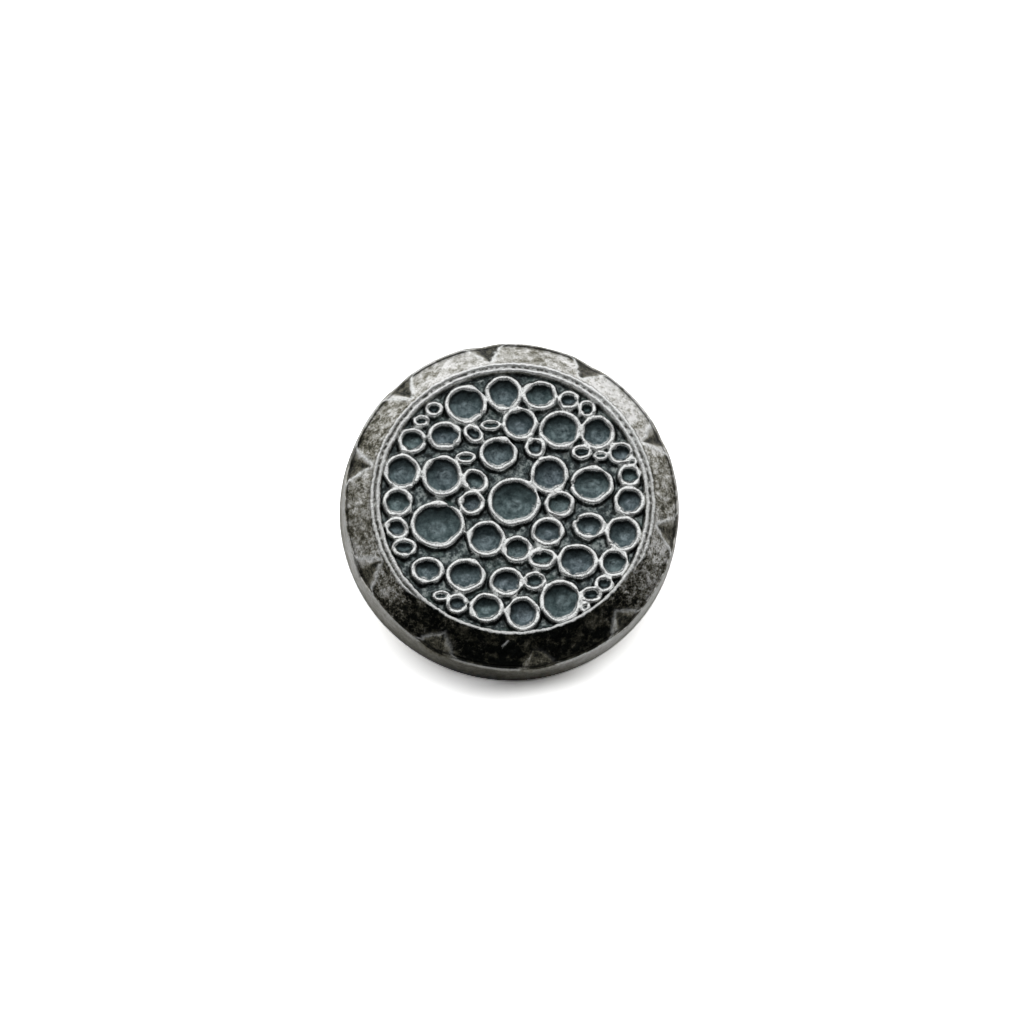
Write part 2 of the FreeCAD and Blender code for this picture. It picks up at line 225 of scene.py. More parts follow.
# How light the bevel is, by direction: 0 is black patina, 1 is bright silver. It is partly wear and partly
# painted light and shade of how the light falls on each side, with painted shade darkest along the lower
# edge.
BEVEL_WEAR_AND_SHADE = [
    (0, 0.51),
    (15, 0.66),
    (30, 0.9),
    (45, 0.92),
    (60, 0.78),
    (75, 0.68),
    (90, 0.74),
    (105, 0.84),
    (120, 0.76),
    (135, 0.54),
    (150, 0.5),
    (165, 0.56),
    (180, 0.56),
    (198, 0.62),
    (208, 0.44),
    (218, 0.16),
    (228, 0.12),
    (240, 0.15),
    (255, 0.04),
    (290, 0.04),
    (304, 0.1),
    (312, 0.42),
    (326, 0.66),
    (345, 0.62),
    (360, 0.51),
]
# The same for the side band, also partly wear and partly painted light and shade.
BAND_WEAR_AND_SHADE = [
    (0, 0.65),
    (180, 0.7),
    (195, 0.84),
    (210, 0.68),
    (225, 0.54),
    (240, 0.42),
    (255, 0.36),
    (270, 0.56),
    (285, 0.76),
    (300, 0.92),
    (315, 0.86),
    (360, 0.65),
]
# How rough and speckled the bevel is, by direction.
BEVEL_ROUGHNESS = [
    (0, 0.5),
    (30, 0.6),
    (60, 0.5),
    (75, 0.2),
    (105, 0.25),
    (135, 0.5),
    (165, 0.5),
    (185, 0.5),
    (200, 1.0),
    (215, 0.9),
    (222, 0.3),
    (240, 0.3),
    (255, 0.0),
    (298, 0.1),
    (308, 1.0),
    (335, 1.0),
    (345, 0.7),
    (360, 0.5),
]

# Noise on the casting, as how many features there are to a millimetre, and in how many octaves.
ROUGH_NOISE, WANDER_NOISE, HAMMER_NOISE = (5.0, 3), (1.6, 3), (1.9, 4)
FLOOR_NOISE, SIDE_NOISE = (2.4, 3), (0.8, 2)

# The land is worn away to a single line along the lower edge, between these directions. It fades over so many
# degrees outside them and inside.
WORN_FROM, WORN_TO = 219.0, 322.0
WORN_OUTSIDE, WORN_INSIDE = 8, 4
WORN_LIP = 0.14  # the width of the line that stays
LIP_HIGHLIGHT_AT, LIP_HIGHLIGHT_SPREAD = 62, 55  # where a painted highlight makes the lip brightest, and how far that spreads
LIP_BRIGHTNESS, LIP_HIGHLIGHT_ADDS = 0.78, 0.22  # how bright the worn lip is elsewhere, and how much the painted highlight adds there
LINE_DEPTH = 0.09  # of the engraved line
LINE_FADES_BY = 0.55  # how much of the line is lost under the lip's painted highlight
LIP_WANDER = 0.03  # how far the edges of the lip wander
# The hammered bevel: how deep its dents are, and how far it is worn down by them.
HAMMER_DEPTH, HAMMER_WEAR = 0.022, 0.012

# A scratch on the lower bevel: its direction, its radius and how it turns, then its half length, half width
# and depth.
SCRATCH_DIRECTION, SCRATCH_RADIUS, SCRATCH_TURN = 259.0, 6.36, 34.0
SCRATCH_HALF_LENGTH, SCRATCH_HALF_WIDTH, SCRATCH_DEPTH = 0.16, 0.025, 0.015

# The turned face, as radius and height: floor, wall, lip with its line, bevel and outer crest.
RIM_PROFILE = [
    (0, FIELD_FLOOR),
    (FIELD_RADIUS - 0.02, FIELD_FLOOR),
    (FIELD_RIM_RADIUS - 0.01, BODY_THICKNESS - 0.05),
    (FIELD_RIM_RADIUS + 0.03, BODY_THICKNESS - 0.012),
    (FIELD_RIM_RADIUS + 0.08, BODY_THICKNESS),
    (LINE_RADIUS - 0.08, BODY_THICKNESS - 0.015),
    (LINE_RADIUS - 0.02, BODY_THICKNESS - LINE_DEPTH),
    (LINE_RADIUS + 0.02, BODY_THICKNESS - LINE_DEPTH),
    (LINE_RADIUS + 0.06, BODY_THICKNESS - 0.01),
    (LAND_RADIUS - 0.07, BODY_THICKNESS),
    (LAND_RADIUS - 0.01, BODY_THICKNESS - 0.02),
    (LAND_RADIUS + 0.05, BODY_THICKNESS - 0.07),
    (BEVEL_RADIUS - 0.05, BEVEL_FOOT - 0.01),
    (BEVEL_RADIUS, BEVEL_FOOT - 0.03),
    (BEVEL_RADIUS + 0.05, BEVEL_FOOT),
]
# The side, as radius and height, from the crest down to the back.
SIDE_PROFILE = [
    (CREST_RADIUS - 0.06, SIDE_HEIGHT + 0.06),
    (CREST_RADIUS - 0.02, SIDE_HEIGHT + 0.02),
    (CREST_RADIUS, SIDE_HEIGHT - 0.05),
    (CREST_RADIUS + 0.01, 1.8),
    (CREST_RADIUS + 0.02, 1.6),
    (CREST_RADIUS + 0.03, 1.3),
    (CREST_RADIUS + 0.045, 0.9),
    (BASE_RADIUS - 0.01, 0.55),
    (BASE_RADIUS - 0.008, 0.36),
    (BASE_RADIUS - 0.02, 0.24),
    (BASE_RADIUS - 0.06, 0.13),
    (BASE_RADIUS - 0.13, 0.05),
    (BACK_RADIUS - 0.02, 0.01),
    (BACK_RADIUS - 0.15, 0.0),
]
SIDE_DENTS, SIDE_WANDER = 0.004, 0.03  # in the side, as a share of its radius, and up its upper edge
SHANK_EDGE = 0.07  # how far the shank's edges are softened
SHANK_ROOTED = 0.35  # how far it runs into the body

# The mesh. The grids over the field and the back have so many cells along one side.
GRID = 300
BACK_GRID = GRID // 6
FACE_GRID_RADIUS = FIELD_RADIUS - 0.08
BACK_GRID_RADIUS = BACK_RADIUS - 0.4
# The loops round the field: the steps between those of the lip and of the bevel, and where the crest's are.
LIP_STEP, BEVEL_STEP = 0.028, 0.045
CREST_STEPS = (-0.05, -0.02, 0, 0.03, 0.06)
MOST_TRIANGLES = 184000
# Points within this radius and above this height have the face's finish.
FACE_REACH, FACE_LOWEST = BEVEL_RADIUS + 0.07, 1.3


def smooth(low, high, value):
    """0 below low, 1 above high and a smooth step between."""
    share = np.clip((value - low) / (high - low), 0, 1)
    return share * share * (3 - 2 * share)


def bump_at(value, centre, width):
    """A soft peak of 1 at the centre."""
    return np.exp(-(((value - centre) / width) ** 2))


def waves(angle, seed, strengths):
    """A slow, uneven wobble round a ring: the first strength turns twice round it, the next three times."""
    total = np.zeros_like(angle)
    for index, strength in enumerate(strengths):
        total += strength * np.sin((index + 2) * angle + 2.4 * seed * (index + 1) + index)
    return total


def fractal(points, scale, octaves):
    """Fractal noise at each point, about -1 to 1."""
    falloff, gap, basis = 0.9, 2.0, "PERLIN_ORIGINAL"
    places = (Vector(point) * scale for point in points)
    return np.array([noise.fractal(place, falloff, gap, octaves, noise_basis=basis) for place in places])


def own_axes(dx, dy, angle):
    """Offsets along a direction and across it."""
    return dx * math.cos(angle) + dy * math.sin(angle), dy * math.cos(angle) - dx * math.sin(angle)


def nick_at(number, short_half, around):
    """Where a ring's bead is nicked, by direction from its middle."""
    if number not in NICKS:
        return np.zeros_like(around)
    aside = np.angle(np.exp(1j * (around - math.radians(NICKS[number]))))
    return bump_at(aside, 0.0, NICK_HALF_LENGTH / short_half)


def one_bead(number, u, v, a, b, around):
    """How far out each place is, as a share and in millimetres, and its bead's half width and height.

    A place lies u along the ring's half length a and v along its half width b, in the direction around.
    """
    round_angle = np.arctan2(v / b, u / a)
    evenness = min(1.0, b / EVEN_RING)
    wobble = 1 + evenness * waves(round_angle, number, RING_WOBBLE)
    reach = np.maximum(np.hypot(u / a, v / b) / wobble, 1e-6)
    distance = np.hypot(u, v) * (1 - 1 / reach)
    nick = nick_at(number, b, around)
    half = BEAD_HALF_WIDTH * (1 + evenness * waves(round_angle, number + 7, BEAD_WOBBLE))
    half *= THICK_BEADS.get(number, THIN_BEAD + BEAD_GAIN * min(1.0, b / SMALL_RING))
    half *= 1 - NICK_NARROWING * nick
    height = BEAD_HEIGHT * (1 + waves(round_angle, number + 3, RISE_WOBBLE)) * (1 - NICK_LOWERING * nick)
    return reach, distance, half, height


def one_bowl(mouth, short_half):
    """Height of a ring's dished bowl, from its middle at 0 to its mouth at 1."""
    depth = min(BOWL_DEPTH, DEEPEST_BOWL * short_half)
    return BEAD_HEIGHT - BOWL_STEP - (depth - BOWL_STEP) * (1 - mouth**BOWL_DISHING)


def one_disc(number, u, v, a, b):
    """The mask of the painted reflection on the disc in a ring's bowl, with its painted glint traces, and how
    far its faint rings stand up.
    """
    round_angle = np.arctan2(v / b, u / a)
    reach = np.hypot(u / a, v / b + DISC_DROP)
    radius = DISC_RADIUS + DISC_VARIES * math.sin(DISC_STEP * number)
    trace = sum(strength * bump_at(reach, radius + off, width) for off, width, strength in GLINT_TRACES)
    trace *= GLINT_TRACE_STRENGTH * np.clip(0.5 - np.sin(round_angle), 0, 1)
    uneven_reach = reach + waves(round_angle, number + 5, DISC_WOBBLE)
    turned = 0.5 + 0.5 * np.cos(uneven_reach / DISC_RING_GAP * 2 * math.pi)
    turned *= np.clip(RINGS_SHOW + RINGS_VARY * np.sin(round_angle + GLEAM_STEP * number), 0.1, 1)
    on_disc = 1 - smooth(radius - DISC_EDGE, radius, reach)
    mask = np.maximum(on_disc * (DISC_LEAST + DISC_GAIN * turned), trace)
    return mask, DISC_RING_HEIGHT * on_disc * turned


def ring_relief(x, y):
    """How many half widths off a bead each place is, that bead's height and how far it faces up the picture,
    and the bowls' height and masks.
    """
    closeness, dish, facing = (np.zeros_like(x) for _ in range(3))
    rise = np.full_like(x, BEAD_HEIGHT)
    masks = {name: np.zeros_like(x) for name in ("disc_sheen", "crescent", "bowl", "small", "tint")}
    scale = FIELD_RADIUS / LAYOUT_RADIUS
    for number, (across, up, long_half, short_half, turn) in enumerate(RINGS):
        a, b = long_half * scale, short_half * scale
        dx, dy = x - across * scale, y - up * scale
        near = dx * dx + dy * dy < (a + RING_REACH) ** 2
        dx, dy = dx[near], dy[near]
        u, v = own_axes(dx, dy, math.radians(turn))
        around = np.arctan2(dy, dx)
        reach, distance, half, height = one_bead(number, u, v, a, b, around)
        off = np.abs(distance) / half
        closeness[near] += np.exp(-off / BRIDGE)
        closest = off < BEAD_REACH
        rise[near] = np.where(closest, height, rise[near])
        facing[near] = np.where(closest, np.sign(distance) * np.sin(around), facing[near])

        within = np.where(distance < 0, 1.0, 0.0)
        mouth = np.clip(reach / (1 - BEAD_HALF_WIDTH / b), 0, 1)
        disc_sheen, disc_rings = one_disc(number, u, v, a, b)
        dish[near] = np.maximum(dish[near], one_bowl(mouth, b) * within) + disc_rings * within
        own_masks = {
            "disc_sheen": disc_sheen * within,
            # Painted shade under the upper edge of the bowl.
            "crescent": smooth(*CRESCENT, mouth) * np.clip(0.2 + 0.8 * np.sin(around), 0, 1) * within,
            "bowl": smooth(0.0, BOWL_EDGE, -distance - BOWL_INSET * half),
            "small": within * (1 - smooth(SMALLEST_RING, SMALL_RING, b)),
        }
        for name, own in own_masks.items():
            masks[name][near] = np.maximum(masks[name][near], own)
        tint = 0.5 + 0.5 * math.sin(TINT_STEP * number)
        masks["tint"][near] = np.where(distance < 0, tint, masks["tint"][near])
    off = -BRIDGE * np.log(np.maximum(closeness, 1e-9))
    return off, rise, facing, dish, masks


def rim_profile(radius, wear):
    """Height of the turned face at a radius, from the field's floor to the outer crest."""
    turned = np.interp(radius, *zip(*RIM_PROFILE))
    start = FIELD_RIM_RADIUS + WORN_LIP
    slope = (BODY_THICKNESS - BEVEL_FOOT) / (BEVEL_RADIUS - start)
    worn = np.where(radius < start, BODY_THICKNESS, BODY_THICKNESS - (radius - start) * slope)
    worn = np.where(radius < FIELD_RIM_RADIUS + 0.03, turned, worn)
    worn = np.where(radius > BEVEL_RADIUS - 0.1, turned, worn)
    return turned + wear * (worn - turned)


def notch_cut(x, y):
    """Height of the filed V's at a place, where the face can't be higher, and how light they are there: wear,
    with painted light and shade on the facets and painted shade in the valley.
    """
    rise = NOTCH_END_HEIGHT - (BEVEL_FOOT - NOTCH_DEPTH)
    run = BEVEL_RADIUS - NOTCH_END_RADIUS
    lowest = np.full_like(x, BODY_THICKNESS * 3)
    wear = np.zeros_like(x)
    for number, (direction, further, nearer) in enumerate(NOTCHES):
        out, aside = own_axes(x, y, math.radians(direction))
        aside = aside + NOTCH_SKEW * math.sin(number * SKEW_STEP) * (out - NOTCH_END_RADIUS)
        valley = BEVEL_FOOT - NOTCH_DEPTH + (BEVEL_RADIUS - out) * rise / run
        height = valley + np.abs(aside) * NOTCH_DEPTH / NOTCH_HALF_WIDTH
        wins = (out > 0) & (height < lowest)
        lowest = np.where(wins, height, lowest)
        facet = nearer + (further - nearer) * smooth(-0.04, 0.04, aside)
        width = NOTCH_HALF_WIDTH * np.clip((out - NOTCH_END_RADIUS) / run, 0.1, 1)
        off_valley = smooth(0.2, 0.7, np.abs(aside) / width)
        wear = np.where(wins, VALLEY_SHADE + (facet - VALLEY_SHADE) * off_valley, wear)
    return lowest, wear


def scratch_at(x, y):
    """The mask of the scratch on the lower bevel."""
    direction = math.radians(SCRATCH_DIRECTION)
    dx, dy = x - SCRATCH_RADIUS * math.cos(direction), y - SCRATCH_RADIUS * math.sin(direction)
    along, aside = own_axes(dx, dy, math.radians(SCRATCH_TURN))
    beyond = np.maximum(np.abs(along) - SCRATCH_HALF_LENGTH, 0)
    return 1 - smooth(SCRATCH_HALF_WIDTH, 2 * SCRATCH_HALF_WIDTH, np.hypot(beyond, aside))


def carved_field(x, y, points, rough):
    """Height of the carved field, and the masks of its bright crests with their painted highlight, of the
    painted shade at their feet and of its bowls.
    """
    off, rise, facing, dish, masks = ring_relief(x, y)
    off = off + BEAD_ROUGHNESS * rough
    bead = rise * (1 - smooth(*BEAD_SIDE, off)) * (1 - BEAD_CROWN * np.clip(off, 0, 1) ** 2)
    # On the side that faces up, a painted highlight carries the bright crest further down the bead.
    upper = np.clip(facing, 0, 1)
    fades = [end + further * upper for end, further in zip(BRIGHT_CREST, LIT_UPPER_CREST)]
    crest = 1 - smooth(*fades, off)
    # Painted shade at the foot of a bead, on the side that faces down.
    shaded_foot = bump_at(off, *SHADED_FOOT) * (0.5 - 0.5 * facing)
    uneven = FLOOR_UNEVEN * fractal(points + 11, *FLOOR_NOISE)
    height = FIELD_FLOOR + np.maximum(bead, dish + uneven * (1 - crest))
    return height, crest, shaded_foot, masks


def file_notches(height, x, y, turn, rough):
    """The height with the notches in it, and the masks of the notches, of their wear with painted light and
    shade, and of their burrs.
    """
    filed, wear = notch_cut(x, y)
    filed = filed - NOTCH_WEAR_DEPTH + NOTCH_ROUGHNESS * rough
    beyond = smooth(NOTCH_END_RADIUS - 0.1, NOTCH_END_RADIUS, np.hypot(x, y))
    notch = smooth(-0.01, 0.02, height - filed) * beyond
    burr = bump_at(height - filed, BURR_OFF, BURR_WIDTH) * beyond * np.clip(1.0 + 1.5 * rough, 0, 1)
    burr *= 1 - bump_at(turn, NO_BURRS_AT, NO_BURRS_SPREAD)
    return np.minimum(height, filed) + BURR_HEIGHT * burr, notch, wear, burr


def lip_finish(rim, turn, wear, lip_end, rough):
    """Masks of the bright lip, worn and with a painted highlight towards one side, with its line left out,
    and of the dark line and edge.
    """
    lip = smooth(FIELD_RIM_RADIUS - 0.02, FIELD_RIM_RADIUS + 0.02, rim)
    lip = lip * (1 - smooth(lip_end - 0.01, lip_end + 0.03, rim))
    lip_highlight = bump_at(turn, LIP_HIGHLIGHT_AT, LIP_HIGHLIGHT_SPREAD)
    broken = np.clip(1.0 + 1.5 * rough - LINE_FADES_BY * lip_highlight, 0, 1)
    line = bump_at(rim, LINE_RADIUS, 0.05) * (1 - wear) * broken
    edge_line = bump_at(rim, LAND_RADIUS + 0.03, 0.025) * (1 - wear) * (0.75 - 0.5 * bump_at(turn, 110, 40))
    bright = lip * (LIP_BRIGHTNESS + LIP_HIGHLIGHT_ADDS * lip_highlight) * (1 - 1.1 * line)
    return bright, line * lip, edge_line


def face_form(x, y):
    """Height of the face, and the masks of its finish."""
    radius = np.hypot(x, y)
    turn = np.degrees(np.arctan2(y, x)) % 360
    points = np.stack([x, y, np.zeros_like(x)], axis=1)
    rough = fractal(points, *ROUGH_NOISE)
    off_field = smooth(FIELD_RADIUS - 0.1, FIELD_RADIUS, radius)
    wander = (LIP_WANDER * fractal(points, *WANDER_NOISE) + LIP_WANDER * rough) * off_field
    wear = smooth(WORN_FROM - WORN_OUTSIDE, WORN_FROM + WORN_INSIDE, turn)
    wear *= 1 - smooth(WORN_TO - WORN_INSIDE, WORN_TO + WORN_OUTSIDE, turn)
    rim = radius + wander * (1 - smooth(BEVEL_RADIUS - 0.3, BEVEL_RADIUS - 0.1, radius))
    base = rim_profile(rim, wear)
    carved, crest, shaded_foot, masks = carved_field(x, y, points, rough)
    height = np.where(radius < FIELD_RIM_RADIUS, np.maximum(base, carved), base)
    height, notch, notch_wear_and_shade, burr = file_notches(height, x, y, turn, rough)

    lip_end = LAND_RADIUS - 0.02 + wear * (FIELD_RIM_RADIUS + WORN_LIP - LAND_RADIUS)
    bevel = smooth(lip_end - 0.01, lip_end + 0.04, rim)
    bevel = bevel * (1 - smooth(BEVEL_RADIUS - 0.03, BEVEL_RADIUS, radius))
    height += bevel * (HAMMER_DEPTH * fractal(points, *HAMMER_NOISE) - HAMMER_WEAR)
    scratch = scratch_at(x, y)
    height -= SCRATCH_DEPTH * scratch

    field = 1 - smooth(FIELD_RADIUS - 0.02, FIELD_RADIUS + 0.03, radius)
    off_crest = 1 - crest
    bright_lip, dark_line, edge_line = lip_finish(rim, turn, wear, lip_end, rough)
    outer_line = bump_at(radius, BEVEL_RADIUS - 0.01, 0.04)
    masks = {name: mask * field for name, mask in masks.items()}
    masks["bowl"] *= off_crest
    masks["crescent"] *= off_crest
    masks["field"] = field
    # The tone: wear and patina, with painted light and shade by direction.
    masks["tone"] = np.interp(turn, *zip(*BEVEL_WEAR_AND_SHADE))
    masks["rough"] = np.interp(turn, *zip(*BEVEL_ROUGHNESS))
    masks["notch"] = notch
    masks["notch_wear_and_shade"] = notch_wear_and_shade
    # The worn crests, scratch and burrs, with the painted highlights on the beads' upper sides and on the
    # lip.
    masks["worn"] = np.clip(np.maximum(crest * field, bright_lip) + scratch + burr, 0, 1)
    # Patina in the lip's line and the grooves, with the painted shade at the beads' lower feet.
    masks["crevice_and_shade"] = np.clip(shaded_foot * field * off_crest + dark_line + outer_line + edge_line, 0, 1)
    masks["band"] = np.zeros_like(x)
    masks["low"] = np.zeros_like(x)
    return height, masks


def disc_grid(cells, radius):
    """A square grid spread over a disc: its points, its faces and its outer loop, from +X round."""
    steps = np.linspace(-1, 1, cells + 1)
    across, up = np.meshgrid(steps, steps, indexing="ij")
    across, up = across.ravel(), up.ravel()
    wide = np.abs(across) >= np.abs(up)
    with np.errstate(divide="ignore", invalid="ignore"):
        reach = np.where(wide, across, up)
        turn = np.where(wide, up / across * math.pi / 4, math.pi / 2 - across / up * math.pi / 4)
    turn = np.nan_to_num(turn)
    points = np.stack([reach * np.cos(turn), reach * np.sin(turn)], axis=1) * radius
    index = np.arange((cells + 1) ** 2).reshape(cells + 1, cells + 1)
    faces = np.stack([index[:-1, :-1], index[1:, :-1], index[1:, 1:], index[:-1, 1:]], axis=-1).reshape(-1, 4)
    half = cells // 2
    loop = list(index[cells, half:])
    loop += list(index[:cells, cells][::-1])
    loop += list(index[0, :cells][::-1])
    loop += list(index[1:, 0])
    loop += list(index[cells, 1:half])
    return points, faces, np.array(loop)


def strip(first, second):
    """Faces between two loops of as many points."""
    return np.stack([first, second, np.roll(second, -1), np.roll(first, -1)], axis=1)


def fan_strip(fine, coarse):
    """Faces between a fine loop and a coarse one that it divides."""
    ratio = len(fine) // len(coarse)
    faces = []
    for index, here in enumerate(coarse):
        there = coarse[(index + 1) % len(coarse)]
        ends = [fine[(index * ratio + step) % len(fine)] for step in range(ratio + 1)]
        middle = ratio // 2
        faces += [(ends[step], ends[step + 1], here) for step in range(middle)]
        faces.append((ends[middle], there, here))
        faces += [(ends[step], ends[step + 1], there) for step in range(middle, ratio)]
    return faces


def side_ring(angles, radius, low):
    """One loop of the side, a little uneven towards the top. The notches bite its upper edge."""
    ring = np.stack([radius * np.cos(angles), radius * np.sin(angles), np.full_like(angles, low)], axis=1)
    wander = fractal(ring, *SIDE_NOISE)
    upper = float(smooth(1.2, 1.9, low))
    ring[:, 2] += SIDE_WANDER * (wander - 0.5) * upper
    ring[:, :2] *= (1 - SIDE_DENTS * (wander + 0.6) * float(smooth(0.3, 1.0, low)))[:, None]
    filed, _ = notch_cut(ring[:, 0], ring[:, 1])
    ring[:, 2] = np.minimum(ring[:, 2], filed)
    return ring


def body_mesh():
    """The casting without its shank: face, side and back, as one closed surface."""
    flat, grid_faces, loop = disc_grid(GRID, FACE_GRID_RADIUS)
    angles = np.arctan2(flat[loop][:, 1], flat[loop][:, 0])
    lip_radii = np.arange(FACE_GRID_RADIUS + 0.03, LAND_RADIUS + 0.1, LIP_STEP)
    bevel_radii = np.arange(NOTCH_END_RADIUS, BEVEL_RADIUS - 0.08, BEVEL_STEP)
    crest_radii = [BEVEL_RADIUS + step for step in CREST_STEPS]
    face_radii = np.concatenate([lip_radii, bevel_radii, crest_radii])
    rings = [np.stack([radius * np.cos(angles), radius * np.sin(angles)], axis=1) for radius in face_radii]
    plane = np.concatenate([flat, *rings])
    height, _ = face_form(plane[:, 0], plane[:, 1])
    points = [np.column_stack([plane, height])]
    points += [side_ring(angles, radius, low) for radius, low in SIDE_PROFILE]

    all_faces = [grid_faces]
    count = len(flat)
    for _ in range(len(face_radii) + len(SIDE_PROFILE)):
        here = np.arange(count, count + len(loop))
        all_faces.append(strip(loop, here))
        loop = here
        count += len(loop)

    coarse, coarse_faces, coarse_loop = disc_grid(BACK_GRID, BACK_GRID_RADIUS)
    faces = [tuple(face) for face in np.concatenate(all_faces)]
    faces += fan_strip(list(loop), [count + index for index in coarse_loop])
    faces += [tuple(count + corner for corner in face[::-1]) for face in coarse_faces]
    points.append(np.column_stack([coarse, np.zeros(len(coarse))]))
    return np.concatenate(points), faces


def shank_section():
    """The tab's section as one loop: how far out from the eye each corner is, 0 to 1, and on which side."""
    across_steps, out_steps = 10, 8
    section = [(0.0, side) for side in np.linspace(-1, 1, across_steps + 1)]
    section += [(share, 1.0) for share in np.linspace(0, 1, out_steps + 1)[1:]]
    section += [(1.0, side) for side in np.linspace(1, -1, across_steps + 1)[1:]]
    section += [(share, -1.0) for share in np.linspace(1, 0, out_steps + 1)[1:-1]]
    return section


def root_flare(z):
    """How much wider the shank is at a height, where it runs into the back."""
    if z <= -SHANK_ROOT:
        return 0.0
    deep = min(max(-z, 0.0), SHANK_ROOT)
    return SHANK_ROOT - math.sqrt(SHANK_ROOT**2 - (SHANK_ROOT - deep) ** 2)


def shank_mesh():
    """The tab with its thread eye, as one closed ring of uneven width, flared at the root."""
    turns = 96
    section = shank_section()
    size = len(section)
    half = SHANK_THICKNESS / 2
    points, faces = [], []
    for index in range(turns):
        angle = 2 * math.pi * index / turns
        outward, up = math.cos(angle), math.sin(angle)
        reach = SHANK_END_RADIUS
        if up > 0:
            reach = min(SHANK_END_RADIUS / max(abs(outward), 1e-6), (SHANK_END_DEPTH + SHANK_ROOTED) / up)
        for share, side in section:
            at_corner = abs(side) > 0.99 and (share < 0.01 or share > 0.99)
            soften = SHANK_EDGE if at_corner else 0.0
            radius = EYE_RADIUS + (reach - EYE_RADIUS) * share
            radius += soften if share < 0.5 else -soften
            z = radius * up - SHANK_END_DEPTH
            flare = root_flare(z)
            x = side * (half - soften) * (1 + flare / half)
            points.append((x, radius * outward * (1 + flare / SHANK_END_RADIUS), z))
    for index in range(turns):
        here, there = index * size, (index + 1) % turns * size
        for step in range(size):
            after = (step + 1) % size
            faces.append((here + step, there + step, there + after, here + after))
    return points, faces


def new_object(name, points, faces):
    """A mesh object in the scene."""
    mesh = bpy.data.meshes.new(name)
    mesh.from_pydata([tuple(p) for p in points], [], [tuple(int(c) for c in face) for face in faces])
    mesh.validate()
    made = bpy.data.objects.new(name, mesh)
    bpy.context.collection.objects.link(made)
    return made


def turn_outward(made):
    """Turn a closed mesh's faces outward."""
    bm = bmesh.new()
    bm.from_mesh(made.data)
    bmesh.ops.recalc_face_normals(bm, faces=bm.faces)
    bm.to_mesh(made.data)
    bm.free()


def apply_modifiers(made):
    """Keep what an object's modifiers make of its mesh."""
    depsgraph = bpy.context.evaluated_depsgraph_get()
    mesh = bpy.data.meshes.new_from_object(made.evaluated_get(depsgraph))
    made.modifiers.clear()
    made.data = mesh


def thin_out(made):
    """Fewer triangles where the surface is flat."""
    triangles = sum(len(face.vertices) - 2 for face in made.data.polygons)
    if triangles > MOST_TRIANGLES:
        fewer = made.modifiers.new("fewer", "DECIMATE")
        fewer.ratio = MOST_TRIANGLES / triangles
        apply_modifiers(made)


def weld(first, second):
    """Join two closed solids into one."""
    joined = first.modifiers.new("union", "BOOLEAN")
    joined.operation = "UNION"
    joined.solver = "EXACT"
    joined.object = second
    apply_modifiers(first)
    bpy.data.objects.remove(second)


def finish_masks(made):
    """Store the masks of the finish on the mesh, worked out from where each point lies."""
    points = np.empty(len(made.data.vertices) * 3)
    made.data.vertices.foreach_get("co", points)
    points = points.reshape(-1, 3)
    radius = np.hypot(points[:, 0], points[:, 1])
    turn = np.degrees(np.arctan2(points[:, 1], points[:, 0])) % 360
    on_face = (radius < FACE_REACH) & (points[:, 2] > FACE_LOWEST)
    _, masks = face_form(points[on_face, 0], points[on_face, 1])
    elsewhere = {
        # The side band's tone: wear, with painted light and shade by direction.
        "tone": np.interp(turn, *zip(*BAND_WEAR_AND_SHADE)),
        "band": np.ones(len(points)),
        # Darker towards the floor: partly patina, partly painted shade.
        "low": 1 - smooth(0.2, 1.5, points[:, 2]),
        "worn": bump_at(points[:, 2], SIDE_HEIGHT + 0.03, 0.07) * (radius > BEVEL_RADIUS) * 0.5,
    }
    for name, values in masks.items():
        whole = elsewhere.get(name, np.zeros(len(points))).astype(np.float32)
        whole[on_face] = values
        made.data.attributes.new(name, "FLOAT", "POINT").data.foreach_set("value", whole)


def place():
    """From the button's own axis, in millimetres, to the row frame: tilted at rest, its eye on the mount."""
    eye = next(mount for mount in frame["record"]["mounts"] if mount["name"] == "eye")
    tilt = Matrix.Rotation(REST_TILT, 4, "X")
    own_eye = tilt @ Vector((0, 0, -SHANK_END_DEPTH)) * MM
    return Matrix.Translation(Vector(eye["pos_m"]) - own_eye) @ tilt @ Matrix.Scale(MM, 4)


def make_button():
    """The whole casting in its place, with the masks of its finish."""
    body = new_object("casting", *body_mesh())
    turn_outward(body)
    thin_out(body)
    shank = new_object("shank", *shank_mesh())
    turn_outward(shank)
    weld(body, shank)
    finish_masks(body)
    body.data.transform(place())
    body.data.polygons.foreach_set("use_smooth", [True] * len(body.data.polygons))
    return body


def new_material(name):
    """A material with the tree of its nodes and its shader."""
    material = bpy.data.materials.new(name)
    material.use_nodes = True
    return material, material.node_tree, material.node_tree.nodes["Principled BSDF"]


def node(tree, kind, **inputs):
    """A new node with its inputs set by name."""
    made = tree.nodes.new(kind)
    for name, value in inputs.items():
        made.inputs[name].default_value = value
    return made


def mask_of(tree, name):
    """One of the masks stored on the mesh."""
    made = tree.nodes.new("ShaderNodeAttribute")
    made.attribute_name = name
    return made.outputs["Fac"]


def noise_of(tree, coordinates, scale, detail, roughness):
    """Noise with so many features to a millimetre."""
    made = node(tree, "ShaderNodeTexNoise", Scale=scale, Detail=detail, Roughness=roughness)
    tree.links.new(coordinates, made.inputs["Vector"])
    return made.outputs["Fac"]


def ramp(tree, factor, stops):
    """Colours or grey levels by a factor, each stop as its place and its colour."""
    made = tree.nodes.new("ShaderNodeValToRGB")
    elements = made.color_ramp.elements
    while len(elements) < len(stops):
        elements.new(0.5)
    for element, (position, colour) in zip(elements, stops):
        element.position = position
        element.color = (*colour, 1) if isinstance(colour, tuple) else (colour, colour, colour, 1)
    tree.links.new(factor, made.inputs["Fac"])
    return made.outputs["Color"]


